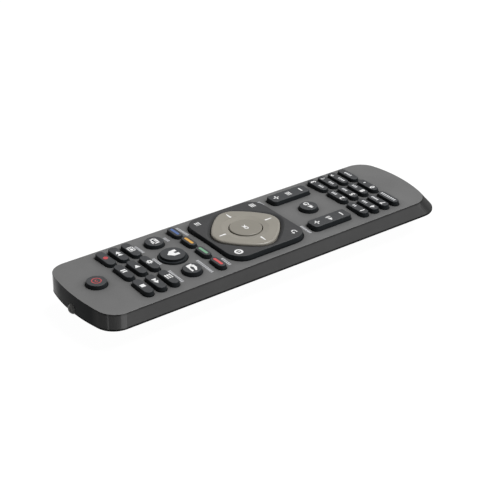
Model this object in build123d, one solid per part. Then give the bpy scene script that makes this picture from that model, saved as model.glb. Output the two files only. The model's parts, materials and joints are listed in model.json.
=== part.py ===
from build123d import *
import math
import os
from collections import namedtuple

os.makedirs("parts", exist_ok=True)

# TV remote control lying on its back, in millimetres.
# +X is across, +Y points to the infrared end, +Z is up out of the key face.
# The origin is on the ground under the middle of the whole object.

# Keys, as seen on the face
KEY_LENGTH = 12.4
KEY_DEPTH = 4.5
KEY_CORNER = 2.2
KEY_GAP = 1.4
KEY_ROW_GAP = 1.8
NUMBER_KEY_DEPTH = 4.4
NUMBER_ROW_GAP = 1.6
COLOUR_KEY_LENGTH = 9.0
COLOUR_KEY_DEPTH = 4.1
COLOUR_KEY_CORNER = 2.0
COLOUR_KEY_GAP = 1.43
POWER_KEY = 9.0
HOME_KEY = 12.6
ROUND_KEY = 8.6
MUTE_KEY = 8.6
ROCKER_WIDTH = 7.3
ROCKER_LENGTH = 21.0
ROCKER_CORNER = 1.9
ROCKER_INSET = 2.1
PAD_SIZE = 39.6
PAD_CORNER = 7.6
RING_MARGIN = 1.9
RING_BULGE = 2.0
RING_CORNER = 8.5
OK_KEY = 14.2

# Distances along the face, from the infrared end to the tail
HEAD_MARGIN = 7.6
POWER_GAP = 6.4
ROUND_ROW_GAP = 3.1
COLOUR_ROW_GAP = 3.5
PAD_GAP = 4.3
ROCKER_GAP = 4.6
NUMBER_GAP = 4.15
TAIL_MARGIN = 16.7
TAIL_SLOPE = 8.4
SIDE_MARGIN = 4.0
TAIL_DRAW_IN = 0.9

# Outline of the housing
HEAD_BOW = 76.0
HEAD_CORNER = 9.2
FACE_TAIL_BOW = 66.0
FACE_TAIL_CORNER = 9.5
TAIL_BOW = 45.0
TAIL_CORNER = 11.0
CROWN = 0.95

# Heights, from the ground up
DOOR_WALL = 1.3
CELL_PLAY = 0.25
CELL_DIAMETER = 10.5
CELL_HEADROOM = 0.15
BAY_CEILING = 1.0
SOLDER_ROOM = 0.3
BOARD_THICKNESS = 1.0
BOARD_CORNER = 3.0
MAT_THICKNESS = 0.7
STROKE_SPARE = 0.1
KEY_TRAVEL = 0.8
FLANGE_THICKNESS = 0.75
FLANGE_PLAY = 0.15
FACE_THICKNESS = 2.4
KEY_PROUD = 1.75
POWER_PROUD = 1.7
PAD_PROUD = 1.7
RING_PROUD = 2.15
SIDE_WALL_HEIGHT = 8.0
RIM_BAND = 0.6
DECK_THICKNESS = 0.35
BELLY_CHAMFER = 1.5

# Walls, seams and clearances
WALL = 1.4
TAIL_WALL = 2.0
HULL_WALL = 2.2
KEY_CLEARANCE = 0.25
ROCKER_CLEARANCE = 0.35
FLANGE_REACH = 0.5
KEY_DRAFT = 8.0
KEY_EDGE = 0.35
RING_EDGE = 0.9
MOAT_WIDTH = 2.2
MOAT_DEPTH = 0.6
DISH_WIDTH = 2.8
DISH_DEPTH = 0.5
HOME_STEP = 1.05
HOME_STEP_DEPTH = 1.1
SHOULDER_DROP = 0.3
SEAM = 0.1
DOOR_SEAM = 0.15
TONGUE_WALL = 1.0
TONGUE_HEIGHT = 1.5
TONGUE_BREAK = 2.0
DECK_OVERLAP = 5.0
INNER_GAP = 0.3
SLIDE_GAP = 0.3

# Belly of the lower housing
BELLY_SIDE = 0.35
BELLY_EDGE = 2.5
BELLY_HEAD_RISE = 26.0
BELLY_TAIL_RISE = 3.0
BELLY_CORNER = 6.0

# Cells and contacts
CELL_LENGTH = 43.7
NUB_LENGTH = 0.8
NUB_DIAMETER = 3.8
CELL_GAP = 0.3
CELL_SIDE_PLAY = 0.3
BAY_WALL = 1.2
CONTACT = 0.4
SPRING_LENGTH = 4.4
SPRING_WIRE = 0.5
SPRING_TURNS = 3
SPRING_BASE = 3.6
SPRING_LEAN = 14.0
CONTACT_WIDTH = 8.0
CONTACT_HEIGHT = 8.4
CONTACT_PLAY = 0.05
CONTACT_TAB = 2.0
CONTACT_BRIDGE = 4.0
CELL_EDGE = 0.4
DOOR_LEAD = 4.1
RAIL_LENGTH = 34.0
RAIL_START = 6.0
RAIL_PLACE = 5.0
RAIL_HEIGHT = 2.4
RAIL_WALL = 0.9
RAIL_FOOT = 0.8
HOOK_LENGTH = 7.0
HOOK_START = 2.0
HOOK_LIP = 1.0
GRIP_COUNT = 5
GRIP_PITCH = 2.2
GRIP_START = 8.0
GRIP_LENGTH = 11.0
GRIP_WIRE = 0.9
GRIP_DEPTH = 0.4

# Stems, seats and tilting pieces
STEM = 2.4
PILL_HEIGHT = 0.3
PILL_GAP = 0.05
STEM_CLEARANCE = 0.45
ROCKER_STEM_PLACE = 7.0
ROCKER_WING = 3.0
ROCKER_TILT = 3.0
PAD_TILT = 1.2
RING_TILT = 2.0
NAV_CLEARANCE = 0.4
PAD_TAB = 8.0
PAD_TAB_LIFT = 0.7
PAD_TAB_THICKNESS = 0.4
RING_TAB = 3.0
PAD_STEM_INSET = 5.0
SKIN = 1.1
SEAT_WALL = 0.8
PAD_SKIRT_LIFT = 0.8
PAD_PLATE_DROP = 0.2
COLLAR_DROP = 1.2
RING_HOLLOW_RISE = 0.6
RING_COLLAR_DROP = 1.0
PAD_SEAT_LIFT = 0.6
PAD_SEAT_CORNER = 0.3
RING_SEAT_LIFT = 0.45
RING_SEAT_GAP = 0.6
RING_SEAT_WALL = 1.1
SEAT_RISE = 1.2
RING_STEM_GAP = 0.4
OK_FLANGE_DROP = 2.3
OK_FLANGE_REACH = 0.8
RIDGE_RADIUS = 0.5
RIDGE_END = 1.0

# Infrared diode
LED_DIAMETER = 5.0
LED_PROUD = 1.4
LED_BODY = 8.0
LED_RIM = 0.25
LED_DROP = 7.2
LED_ROOM = 0.8
LED_RIM_LENGTH = 1.0
LEG = 0.5
LEG_PITCH = 2.54
LEG_LENGTH = 5.0
LEG_SINK = 0.2
LEG_PLAY = 0.03

# Parts soldered under the board
CHIP_LENGTH = 12.8
CHIP_DEPTH = 7.5
CHIP_HEIGHT = 2.2
CHIP_STANDOFF = 0.2
PIN_COUNT = 10
PIN_PITCH = 1.27
PIN_WIDTH = 0.4
PIN_SPAN = 10.4
PIN_THICKNESS = 0.45
CHIP_FORWARD = 4.0
SMALL_COUNT = 5
SMALL_PITCH = 4.5
SMALL_LENGTH = 2.0
SMALL_DEPTH = 1.2
SMALL_HEIGHT = 0.6
SMALL_ROW = 3.2
SMALL_FORWARD = 14.0
RESONATOR_LENGTH = 7.4
RESONATOR_DEPTH = 3.0
RESONATOR_HEIGHT = 4.8
RESONATOR_STANDOFF = 0.4
RESONATOR_PITCH = 2.5
RESONATOR_BACK = 8.0
CAN_DIAMETER = 5.0
CAN_LENGTH = 8.0
CAN_PITCH = 2.0
CAN_ASIDE = 14.0
CAN_FORWARD = 26.0
CAN_BEND = 1.0

# Screws that hold the board
SCREW = 1.5
SCREW_HEAD = 3.2
SCREW_HEAD_HEIGHT = 0.9
SCREW_REACH = 1.6
BOSS = 4.0
SCREW_FIT = 0.02
SCREW_SPARE = 0.2
CROSS_LENGTH = 1.6
CROSS_WIDTH = 0.4
CROSS_DEPTH = 0.4

# Places along the face, counted from the head wall towards the tail
COLUMN = KEY_LENGTH + KEY_GAP
ROW = KEY_DEPTH + KEY_ROW_GAP
NUMBER_ROW = NUMBER_KEY_DEPTH + NUMBER_ROW_GAP
COLOUR_COLUMN = COLOUR_KEY_LENGTH + COLOUR_KEY_GAP
power_at = HEAD_MARGIN + POWER_KEY / 2
first_row_at = power_at + POWER_KEY / 2 + POWER_GAP + KEY_DEPTH / 2
round_row_at = first_row_at + 2 * ROW + KEY_DEPTH / 2 + ROUND_ROW_GAP + HOME_KEY / 2
colour_row_at = round_row_at + HOME_KEY / 2 + COLOUR_ROW_GAP + COLOUR_KEY_DEPTH / 2
pad_at = colour_row_at + COLOUR_KEY_DEPTH / 2 + PAD_GAP + PAD_SIZE / 2
rocker_at = pad_at + PAD_SIZE / 2 + ROCKER_GAP + ROCKER_LENGTH / 2
number_row_at = rocker_at + ROCKER_LENGTH / 2 + NUMBER_GAP + NUMBER_KEY_DEPTH / 2
last_row_at = number_row_at + 3 * NUMBER_ROW
face_tail_at = last_row_at + NUMBER_KEY_DEPTH / 2 + TAIL_MARGIN
body_length = face_tail_at + TAIL_SLOPE

HEAD = (body_length + LED_PROUD) / 2 - LED_PROUD
TAIL = HEAD - body_length
HALF = (3 * KEY_LENGTH + 2 * KEY_GAP) / 2 + SIDE_MARGIN
FACE_TAIL = HEAD - face_tail_at
PAD_Y = HEAD - pad_at
ring_reach = PAD_SIZE / 2 - RING_MARGIN
ring_side = ring_reach / math.sqrt(2) + RING_BULGE
pad_stem = PAD_SIZE / 2 - PAD_STEM_INSET
ring_hole = OK_KEY / 2 + NAV_CLEARANCE
ring_seat_radius = ring_hole + SEAT_WALL + RING_SEAT_GAP
ring_stem = ring_seat_radius + RING_SEAT_WALL + RING_STEM_GAP + STEM / 2

# Heights above the ground
cell_z = DOOR_WALL + CELL_PLAY + CELL_DIAMETER / 2
bay_top = cell_z + CELL_DIAMETER / 2 + CELL_HEADROOM
board_z = bay_top + BAY_CEILING + SOLDER_ROOM
board_top = board_z + BOARD_THICKNESS
mat_top = board_top + MAT_THICKNESS
flange_z = mat_top + STROKE_SPARE + KEY_TRAVEL
flange_top = flange_z + FLANGE_THICKNESS
face_under = flange_top + FLANGE_PLAY
FACE = face_under + FACE_THICKNESS
seam_z = FACE - SIDE_WALL_HEIGHT
rim_z = seam_z - RIM_BAND
pivot_z = flange_z - SLIDE_GAP
led_z = FACE - LED_DROP
led_back = HEAD + LED_PROUD - LED_BODY
crown_radius = (HALF ** 2 + CROWN ** 2) / (2 * CROWN)

# Battery bay
cell_x = CELL_DIAMETER / 2 + CELL_GAP / 2
bay_half = cell_x + CELL_DIAMETER / 2 + CELL_SIDE_PLAY
belly_half = bay_half + BELLY_SIDE
bay_length = CELL_LENGTH + NUB_LENGTH + SPRING_LENGTH + 2 * CONTACT + 2 * CONTACT_PLAY
bay_tail = TAIL + TAIL_SLOPE
bay_front = bay_tail + bay_length
door_front = bay_front + BAY_WALL + DOOR_LEAD

Plan = namedtuple("Plan", "half tail_half head tail head_bow tail_bow head_corner tail_corner")
rim_plan = Plan(HALF, HALF, HEAD, TAIL, HEAD_BOW, TAIL_BOW, HEAD_CORNER, TAIL_CORNER)
face_plan = Plan(HALF, HALF - TAIL_DRAW_IN, HEAD, FACE_TAIL, HEAD_BOW, FACE_TAIL_BOW,
                 HEAD_CORNER, FACE_TAIL_CORNER)


def inset(plan, wall, tail_wall):
    """The same outline moved inwards by a wall."""
    return Plan(plan.half - wall, plan.tail_half - wall, plan.head - wall, plan.tail + tail_wall,
                plan.head_bow - wall, plan.tail_bow - tail_wall,
                plan.head_corner - wall, plan.tail_corner - wall)


def end_round(half, crest, bow, corner, way):
    """Start, middle and end of the round between a side and a bowed end."""
    centre_x = half - corner
    rise = math.sqrt((bow - corner) ** 2 - centre_x ** 2)
    centre_y = crest - way * (bow - rise)
    lean = math.atan2(rise, centre_x)
    points = []
    for turn in (0, lean / 2, lean):
        points.append((centre_x + corner * math.cos(turn), centre_y + way * corner * math.sin(turn)))
    return points


def mirrored(point):
    return (-point[0], point[1])


def outline(plan, z):
    """Face of the housing outline at a height: sides, rounded corners and bowed ends."""
    head = end_round(plan.half, plan.head, plan.head_bow, plan.head_corner, 1)
    tail = end_round(plan.tail_half, plan.tail, plan.tail_bow, plan.tail_corner, -1)
    edges = [
        Line(head[0], tail[0]),
        ThreePointArc(tail[0], tail[1], tail[2]),
        ThreePointArc(tail[2], (0, plan.tail), mirrored(tail[2])),
        ThreePointArc(mirrored(tail[2]), mirrored(tail[1]), mirrored(tail[0])),
        Line(mirrored(tail[0]), mirrored(head[0])),
        ThreePointArc(mirrored(head[0]), mirrored(head[1]), mirrored(head[2])),
        ThreePointArc(mirrored(head[2]), (0, plan.head), head[2]),
        ThreePointArc(head[2], head[1], head[0]),
    ]
    return Pos(0, 0, z) * Face(Wire(edges))


def slab(shape, low, high):
    """A flat shape on the XY plane made into a plate between two heights."""
    return Pos(0, 0, low) * extrude(shape, high - low, dir=(0, 0, 1))


def block(x_low, x_high, y_low, y_high, z_low, z_high):
    size = (x_high - x_low, y_high - y_low, z_high - z_low)
    middle = Pos((x_low + x_high) / 2, (y_low + y_high) / 2, (z_low + z_high) / 2)
    return middle * Box(*size)


def post(x, y, diameter, low, high):
    return Pos(x, y, (low + high) / 2) * Cylinder(diameter / 2, high - low)


def save(node, *solids):
    pieces = []
    for solid in solids:
        pieces.extend(solid.solids())
    shape = pieces[0] if len(pieces) == 1 else Compound(children=pieces)
    export_step(shape, "parts/" + node + ".step")


# Key outlines: width, depth and corner; a corner of half the width makes a round key
STADIUM = (KEY_LENGTH, KEY_DEPTH, KEY_CORNER)
NUMBER = (KEY_LENGTH, NUMBER_KEY_DEPTH, KEY_CORNER - (KEY_DEPTH - NUMBER_KEY_DEPTH) / 2)
COLOUR = (COLOUR_KEY_LENGTH, COLOUR_KEY_DEPTH, COLOUR_KEY_CORNER)
POWER = (POWER_KEY, POWER_KEY, POWER_KEY / 2)
HOME = (HOME_KEY, HOME_KEY, HOME_KEY / 2)
ROUND = (ROUND_KEY, ROUND_KEY, ROUND_KEY / 2)
MUTE = (MUTE_KEY, MUTE_KEY, MUTE_KEY / 2)
ROCKER = (ROCKER_WIDTH, ROCKER_LENGTH, ROCKER_CORNER)
PAD = (PAD_SIZE, PAD_SIZE, PAD_CORNER)


def key_face(size, grow=0.0):
    """Outline of a key, grown outwards by a distance."""
    width, depth, corner = size
    if corner * 2 >= width:
        return Circle(corner + grow)
    return RectangleRounded(width + 2 * grow, depth + 2 * grow, corner + grow)


def cap(size, proud, low):
    """The part of a key that shows: a straight shaft, a drafted head and a soft top edge."""
    shoulder = FACE - SHOULDER_DROP
    head_height = proud + SHOULDER_DROP
    shaft = slab(key_face(size), low, shoulder)
    head = Pos(0, 0, shoulder) * extrude(key_face(size), head_height, taper=KEY_DRAFT)
    head = fillet(head.faces().sort_by(Axis.Z)[-1].edges(), KEY_EDGE)
    return shaft + head


def pill(x, y, bottom):
    """Carbon contact on the end of a stem."""
    return post(x, y, STEM, bottom, bottom + PILL_HEIGHT)


def stem(x, y, bottom, top):
    return post(x, y, STEM, bottom + PILL_HEIGHT, top)


# Every key that slides straight down: node, place and outline
slide_keys = []


def add_row(names, distance, pitch, size):
    start = -pitch * (len(names) - 1) / 2
    for index, name in enumerate(names):
        slide_keys.append((name, start + index * pitch, HEAD - distance, size))


add_row(["power_key"], power_at, COLUMN, POWER)
add_row(["stop_key", "pause_key", "record_key"], first_row_at, COLUMN, STADIUM)
add_row(["rewind_key", "play_key", "forward_key"], first_row_at + ROW, COLUMN, STADIUM)
add_row(["guide_key", "setup_key", "format_key"], first_row_at + 2 * ROW, COLUMN, STADIUM)
add_row(["home_key"], round_row_at, COLUMN, HOME)
add_row(["source_key", "list_key"], round_row_at, 2 * COLUMN, ROUND)
add_row(["red_key", "green_key", "yellow_key", "blue_key"], colour_row_at, COLOUR_COLUMN, COLOUR)
add_row(["mute_key"], rocker_at, COLUMN, MUTE)
add_row(["key_1", "key_2", "key_3"], number_row_at, COLUMN, NUMBER)
add_row(["key_4", "key_5", "key_6"], number_row_at + NUMBER_ROW, COLUMN, NUMBER)
add_row(["key_7", "key_8", "key_9"], number_row_at + 2 * NUMBER_ROW, COLUMN, NUMBER)
add_row(["subtitle_key", "key_0", "text_key"], last_row_at, COLUMN, NUMBER)

rocker_x = HALF - SIDE_MARGIN - ROCKER_INSET - ROCKER_WIDTH / 2
rockers = [("volume_rocker", -rocker_x), ("channel_rocker", rocker_x)]
ROCKER_Y = HEAD - rocker_at

screw_places = [
    (-COLUMN, HEAD - power_at),
    (COLUMN, HEAD - power_at),
    (0, PAD_Y - PAD_SIZE / 2 - ROCKER_GAP - BOSS / 4),
    (-COLUMN - BOSS / 2, HEAD - last_row_at - NUMBER_ROW - BOSS / 2),
    (COLUMN + BOSS / 2, HEAD - last_row_at - NUMBER_ROW - BOSS / 2),
]


def ring_face(shrink=0.0):
    """Four bowed sides between rounded corners that point along X and Y."""
    reach = ring_reach - shrink
    middle = reach / 2 + RING_BULGE / math.sqrt(2)
    tips = [(reach, 0), (0, reach), (-reach, 0), (0, -reach)]
    mids = [(middle, middle), (-middle, middle), (-middle, -middle), (middle, -middle)]
    sides = []
    for index in range(4):
        sides.append(ThreePointArc(tips[index], mids[index], tips[(index + 1) % 4]))
    face = Face(Wire(sides))
    return fillet(face.vertices(), RING_CORNER - shrink / 2)


def room(gap, low, high):
    """Space inside the upper housing between two heights, with a gap left along its walls."""
    inside = loft([outline(inset(rim_plan, WALL + gap, TAIL_WALL + gap), seam_z),
                   outline(inset(face_plan, WALL + gap, TAIL_WALL + gap), FACE)], ruled=True)
    return inside & block(-HALF, HALF, TAIL, HEAD, low, high)


def led_hole():
    """Stepped bore for the infrared diode, cut in both housings because it crosses their seam."""
    along = Rot(90, 0, 0)
    bore = Pos(0, HEAD - LED_BODY / 2, led_z) * along * Cylinder(LED_DIAMETER / 2 + SEAM / 2, 2 * LED_BODY)
    rim_end = led_back + LED_RIM_LENGTH + SEAM
    recess = Cylinder(LED_DIAMETER / 2 + LED_RIM + SEAM, LED_BODY)
    return bore + Pos(0, rim_end - LED_BODY / 2, led_z) * along * recess


def upper_housing():
    outside = loft([outline(rim_plan, seam_z), outline(face_plan, FACE)], ruled=True)
    barrel = Pos(0, (HEAD + TAIL) / 2, FACE - crown_radius) * Rot(90, 0, 0)
    outside = outside & (barrel * Cylinder(crown_radius, 2 * body_length))
    shell = outside - room(0, seam_z, face_under)
    for x, y in screw_places:
        shell += post(x, y, BOSS, board_top, face_under)
    cuts = []
    for name, x, y, size in slide_keys:
        cuts.append(Pos(x, y, 0) * slab(key_face(size, KEY_CLEARANCE), face_under - 1, FACE + 1))
    for name, x in rockers:
        size = (ROCKER_WIDTH, ROCKER_LENGTH + 2 * (ROCKER_CLEARANCE - KEY_CLEARANCE), ROCKER_CORNER)
        cuts.append(Pos(x, ROCKER_Y, 0) * slab(key_face(size, KEY_CLEARANCE), face_under - 1, FACE + 1))
    cuts.append(Pos(0, PAD_Y, 0) * slab(key_face(PAD, NAV_CLEARANCE), face_under - 1, FACE + 1))
    for x, y in screw_places:
        cuts.append(post(x, y, SCREW + 2 * SCREW_FIT, board_top - 1, board_top + SCREW_REACH))
    cuts.append(led_hole())
    return shell - cuts


def hull_shape(plan, shift):
    """Solid belly between the rim and the ground; shift moves its skin inwards."""
    low = BELLY_CHAMFER
    waist = Plan(belly_half - shift, belly_half - shift, HEAD - BELLY_HEAD_RISE - shift,
                 TAIL + BELLY_TAIL_RISE + shift, HEAD_BOW, TAIL_BOW, BELLY_CORNER, BELLY_CORNER)
    base = Plan(belly_half - BELLY_EDGE - shift / 2, belly_half - BELLY_EDGE - shift / 2,
                waist.head - BELLY_EDGE, waist.tail + BELLY_EDGE, HEAD_BOW, TAIL_BOW,
                BELLY_CORNER - BELLY_EDGE / 2, BELLY_CORNER - BELLY_EDGE / 2)
    side = loft([outline(plan, rim_z), outline(waist, low)], ruled=True)
    foot = loft([outline(waist, low), outline(base, 0)], ruled=True)
    band = slab(outline(plan, 0), rim_z, seam_z)
    return side + foot + band


hull_outside = hull_shape(rim_plan, 0)
hull_inside = hull_shape(inset(rim_plan, HULL_WALL, HULL_WALL), HULL_WALL)
hull_inside = hull_inside & block(-HALF, HALF, TAIL, HEAD, DOOR_WALL, FACE)
hull_shell = hull_outside - hull_inside
deck_z = seam_z - DECK_THICKNESS
tongue_plan = inset(rim_plan, WALL + SEAM, TAIL_WALL + SEAM)
rail_x = belly_half + RAIL_PLACE
rail_start = bay_tail + RAIL_START
rail_foot = deck_z - RAIL_HEIGHT


def lower_housing():
    front = hull_shell & block(-HALF, HALF, door_front, HEAD, 0, seam_z)
    deck = slab(outline(rim_plan, 0), deck_z, seam_z) + room(SEAM, seam_z, bay_top)
    deck = deck & block(-HALF, HALF, TAIL, door_front + DECK_OVERLAP, 0, FACE)
    lip_top = seam_z + TONGUE_HEIGHT
    lip = slab(outline(tongue_plan, 0), deck_z, seam_z) + room(SEAM, seam_z, lip_top)
    lip -= slab(outline(inset(tongue_plan, TONGUE_WALL, TONGUE_WALL), 0), deck_z, seam_z)
    lip -= room(SEAM + TONGUE_WALL, seam_z, lip_top)
    lip -= post(0, HEAD, LED_DIAMETER + 2 * TONGUE_BREAK, 0, FACE)
    shell = front + deck + lip
    walls = block(-bay_half - BAY_WALL, bay_half + BAY_WALL, bay_tail - BAY_WALL, bay_front + BAY_WALL,
                  DOOR_WALL + SLIDE_GAP, bay_top + BAY_CEILING)
    clear = HULL_WALL + SLIDE_GAP
    inside = hull_shape(inset(rim_plan, clear, clear), clear) + slab(outline(rim_plan, 0), rim_z, FACE)
    shell += walls & inside
    shell -= block(-bay_half, bay_half, bay_tail, bay_front, 0, bay_top)
    for side in (-1, 1):
        web = block(rail_x, rail_x + RAIL_WALL, rail_start, rail_start + RAIL_LENGTH, rail_foot, deck_z)
        foot = block(rail_x, rail_x + 2 * RAIL_WALL, rail_start, rail_start + RAIL_LENGTH,
                     rail_foot, rail_foot + RAIL_FOOT)
        rail = web + foot
        shell += rail if side > 0 else mirror(rail, Plane.YZ)
    slot = CONTACT + 2 * INNER_GAP
    slot_half = CONTACT_TAB / 2 + INNER_GAP
    for x in (-cell_x, cell_x):
        shell -= block(x - slot_half, x + slot_half, bay_front - slot, bay_front, cell_z, FACE)
    return shell - led_hole()


def battery_door():
    skin = hull_shell & block(-HALF, HALF, TAIL, door_front - DOOR_SEAM, 0, deck_z - SEAM)
    hook_x = rail_x + 2 * RAIL_WALL + SLIDE_GAP
    lip_z = rail_foot + RAIL_FOOT + SLIDE_GAP
    for start in (rail_start + HOOK_START, rail_start + RAIL_LENGTH - HOOK_START - HOOK_LENGTH):
        web = block(hook_x, hook_x + RAIL_WALL, start, start + HOOK_LENGTH, DOOR_WALL, deck_z - SLIDE_GAP)
        lip = block(hook_x - HOOK_LIP, hook_x, start, start + HOOK_LENGTH, lip_z, deck_z - SLIDE_GAP)
        hook = (web + lip) & hull_outside
        skin += hook
        skin += mirror(hook, Plane.YZ)
    for index in range(GRIP_COUNT):
        place = door_front - GRIP_START - GRIP_PITCH * index
        groove = Pos(0, place, GRIP_DEPTH - GRIP_WIRE) * Rot(0, 90, 0) * Cylinder(GRIP_WIRE, GRIP_LENGTH)
        skin -= groove
    return skin


def board_plan(gap, tail_gap):
    return Plan(face_plan.tail_half - WALL - gap, face_plan.tail_half - WALL - gap, HEAD - WALL - gap,
                FACE_TAIL + TAIL_WALL + tail_gap, HEAD_BOW, FACE_TAIL_BOW, HEAD_CORNER - WALL, BOARD_CORNER)


def led_room(gap):
    """Notch for the infrared diode at the head."""
    half = LED_DIAMETER / 2 + LED_ROOM + gap
    return block(-half, half, led_back - LED_ROOM - gap, HEAD, 0, FACE)


def circuit_board():
    board = slab(outline(board_plan(INNER_GAP, INNER_GAP), 0), board_z, board_top)
    board -= led_room(0)
    for x, y in screw_places:
        board -= post(x, y, SCREW + 2 * SEAM, 0, FACE)
    return board


stem_places = []


def keypad_mat():
    mat = slab(outline(board_plan(2 * INNER_GAP, 2 * INNER_GAP), 0), board_top, mat_top)
    mat -= led_room(INNER_GAP)
    cuts = [post(x, y, STEM + 2 * STEM_CLEARANCE, 0, FACE) for x, y in stem_places]
    cuts += [post(x, y, BOSS + 2 * INNER_GAP, 0, FACE) for x, y in screw_places]
    return mat - cuts


def crown_drop(x):
    """Depth of the crowned face under its ridge, at a distance to the side."""
    return crown_radius - math.sqrt(crown_radius ** 2 - x ** 2)


def slide_key(name, x, y, size):
    proud = POWER_PROUD if name == "power_key" else KEY_PROUD
    body = cap(size, proud - crown_drop(x), flange_z)
    body += slab(key_face(size, FLANGE_REACH), flange_z, flange_top)
    if name == "home_key":
        high = FACE + KEY_PROUD
        step = slab(key_face(size, 1), high - HOME_STEP_DEPTH, high + 1)
        body -= step - slab(Circle(HOME_KEY / 2 - HOME_STEP), 0, high + 1)
    bottom = board_top + KEY_TRAVEL + PILL_GAP
    body += stem(0, 0, bottom, flange_z)
    stem_places.append((x, y))
    place = Pos(x, y, 0)
    save(name, place * body, place * pill(0, 0, bottom))


def rocker_key(name, x):
    body = cap(ROCKER, KEY_PROUD, flange_z)
    wing = block(-ROCKER_WIDTH / 2 - FLANGE_REACH, ROCKER_WIDTH / 2 + FLANGE_REACH,
                 -ROCKER_WING, ROCKER_WING, flange_z, flange_top - FLANGE_PLAY)
    body += wing
    ridge = Pos(0, 0, pivot_z) * Rot(0, 90, 0) * Cylinder(RIDGE_RADIUS, ROCKER_WIDTH - 2 * RIDGE_END)
    body += ridge
    drop = ROCKER_STEM_PLACE * math.sin(math.radians(ROCKER_TILT))
    bottom = board_top + drop + PILL_GAP
    pills = []
    for y in (-ROCKER_STEM_PLACE, ROCKER_STEM_PLACE):
        body += stem(0, y, bottom, flange_z)
        pills.append(pill(0, y, bottom))
        stem_places.append((x, ROCKER_Y + y))
    place = Pos(x, ROCKER_Y, 0)
    save(name, place * body, *[place * one for one in pills])


def nav_pad():
    body = cap(PAD, PAD_PROUD, flange_z + PAD_SKIRT_LIFT)
    under = FACE - PAD_PLATE_DROP
    body -= slab(key_face(PAD, -SKIN), 0, under)
    top = FACE + PAD_PROUD
    body += slab(ring_face(-NAV_CLEARANCE - SEAT_WALL), FACE - COLLAR_DROP, under)
    body -= slab(ring_face(-NAV_CLEARANCE), 0, top)
    moat_low = ring_face(-NAV_CLEARANCE)
    moat_high = ring_face(-NAV_CLEARANCE - 2 * MOAT_WIDTH)
    moat_z = top - MOAT_DEPTH
    body -= loft([Pos(0, 0, moat_z) * moat_low, Pos(0, 0, moat_z + 2 * MOAT_DEPTH) * moat_high], ruled=True)
    tab_z = mat_top + PAD_TAB_LIFT
    edge = PAD_SIZE / 2
    for turn in range(4):
        tab = block(edge - SKIN, edge + FLANGE_REACH, -PAD_TAB, PAD_TAB, tab_z, tab_z + PAD_TAB_THICKNESS)
        tab += block(edge - SKIN, edge, -PAD_TAB, PAD_TAB, tab_z, flange_z + PAD_SKIRT_LIFT)
        body += Rot(0, 0, 90 * turn) * tab
    arm = pad_stem * math.sqrt(2)
    bottom = board_top + arm * math.sin(math.radians(PAD_TILT)) + PILL_GAP
    pills = []
    for x in (-pad_stem, pad_stem):
        for y in (-pad_stem, pad_stem):
            body += stem(x, y, bottom, under)
            pills.append(pill(x, y, bottom))
            stem_places.append((x, PAD_Y + y))
    place = Pos(0, PAD_Y, 0)
    save("nav_pad", place * body, *[place * one for one in pills])


def nav_ring():
    top = FACE + RING_PROUD
    body = slab(ring_face(), flange_z, top)
    body = fillet(body.faces().sort_by(Axis.Z)[-1].edges(), RING_EDGE)
    body -= slab(ring_face(SKIN), 0, FACE + RING_HOLLOW_RISE)
    body += slab(Circle(ring_hole + SEAT_WALL), FACE - RING_COLLAR_DROP, FACE + RING_HOLLOW_RISE)
    body -= slab(Circle(ring_hole), 0, top)
    body -= Pos(0, 0, top - DISH_DEPTH / 2) * Cone(ring_hole, ring_hole + DISH_WIDTH, DISH_DEPTH)
    for turn in range(4):
        tab = block(ring_side - SKIN - INNER_GAP, ring_side + 2 * NAV_CLEARANCE, -RING_TAB, RING_TAB,
                    flange_z, flange_top)
        body += Rot(0, 0, 45 + 90 * turn) * tab
    bottom = board_top + ring_stem * math.sin(math.radians(RING_TILT)) + PILL_GAP
    pills = []
    for turn in range(4):
        x = ring_stem * math.cos(math.radians(90 * turn))
        y = ring_stem * math.sin(math.radians(90 * turn))
        body += stem(x, y, bottom, FACE + RING_HOLLOW_RISE)
        pills.append(pill(x, y, bottom))
        stem_places.append((x, PAD_Y + y))
    place = Pos(0, PAD_Y, 0)
    save("nav_ring", place * body, *[place * one for one in pills])


def ok_key():
    top = FACE + RING_PROUD
    low = FACE - OK_FLANGE_DROP
    body = slab(Circle(OK_KEY / 2), low, top)
    body = fillet(body.faces().sort_by(Axis.Z)[-1].edges(), KEY_EDGE)
    body += slab(Circle(OK_KEY / 2 + OK_FLANGE_REACH), low, low + FLANGE_THICKNESS)
    bottom = board_top + KEY_TRAVEL + PILL_GAP
    body += stem(0, 0, bottom, low)
    stem_places.append((0, PAD_Y))
    place = Pos(0, PAD_Y, 0)
    save("ok_key", place * body, place * pill(0, 0, bottom))


def seats():
    high = flange_z + SEAT_RISE
    outer = PAD_SIZE - 2 * SKIN - 2 * INNER_GAP
    corner = PAD_CORNER - SKIN - INNER_GAP - PAD_SEAT_CORNER
    frame = RectangleRounded(outer, outer, corner)
    frame -= RectangleRounded(outer - 2 * SEAT_WALL, outer - 2 * SEAT_WALL, corner - SEAT_WALL)
    save("pad_seat", Pos(0, PAD_Y, 0) * slab(frame, mat_top + PAD_SEAT_LIFT, high))
    washer = Circle(ring_seat_radius + RING_SEAT_WALL) - Circle(ring_seat_radius)
    save("ring_seat", Pos(0, PAD_Y, 0) * slab(washer, mat_top + RING_SEAT_LIFT, high))


def ir_led():
    axis = Rot(-90, 0, 0)
    radius = LED_DIAMETER / 2
    straight = LED_BODY - radius
    body = Pos(0, led_back + straight / 2, led_z) * axis * Cylinder(radius, straight)
    body += Pos(0, led_back + straight, led_z) * Sphere(radius)
    body += Pos(0, led_back + LED_RIM_LENGTH / 2, led_z) * axis * Cylinder(radius + LED_RIM, LED_RIM_LENGTH)
    for side in (-1, 1):
        leg = Pos(side * LEG_PITCH / 2, led_back - LEG_LENGTH / 2 + LEG_SINK, board_z - LEG / 2 - LEG_PLAY)
        body += leg * axis * Cylinder(LEG / 2, LEG_LENGTH)
    return body


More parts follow.
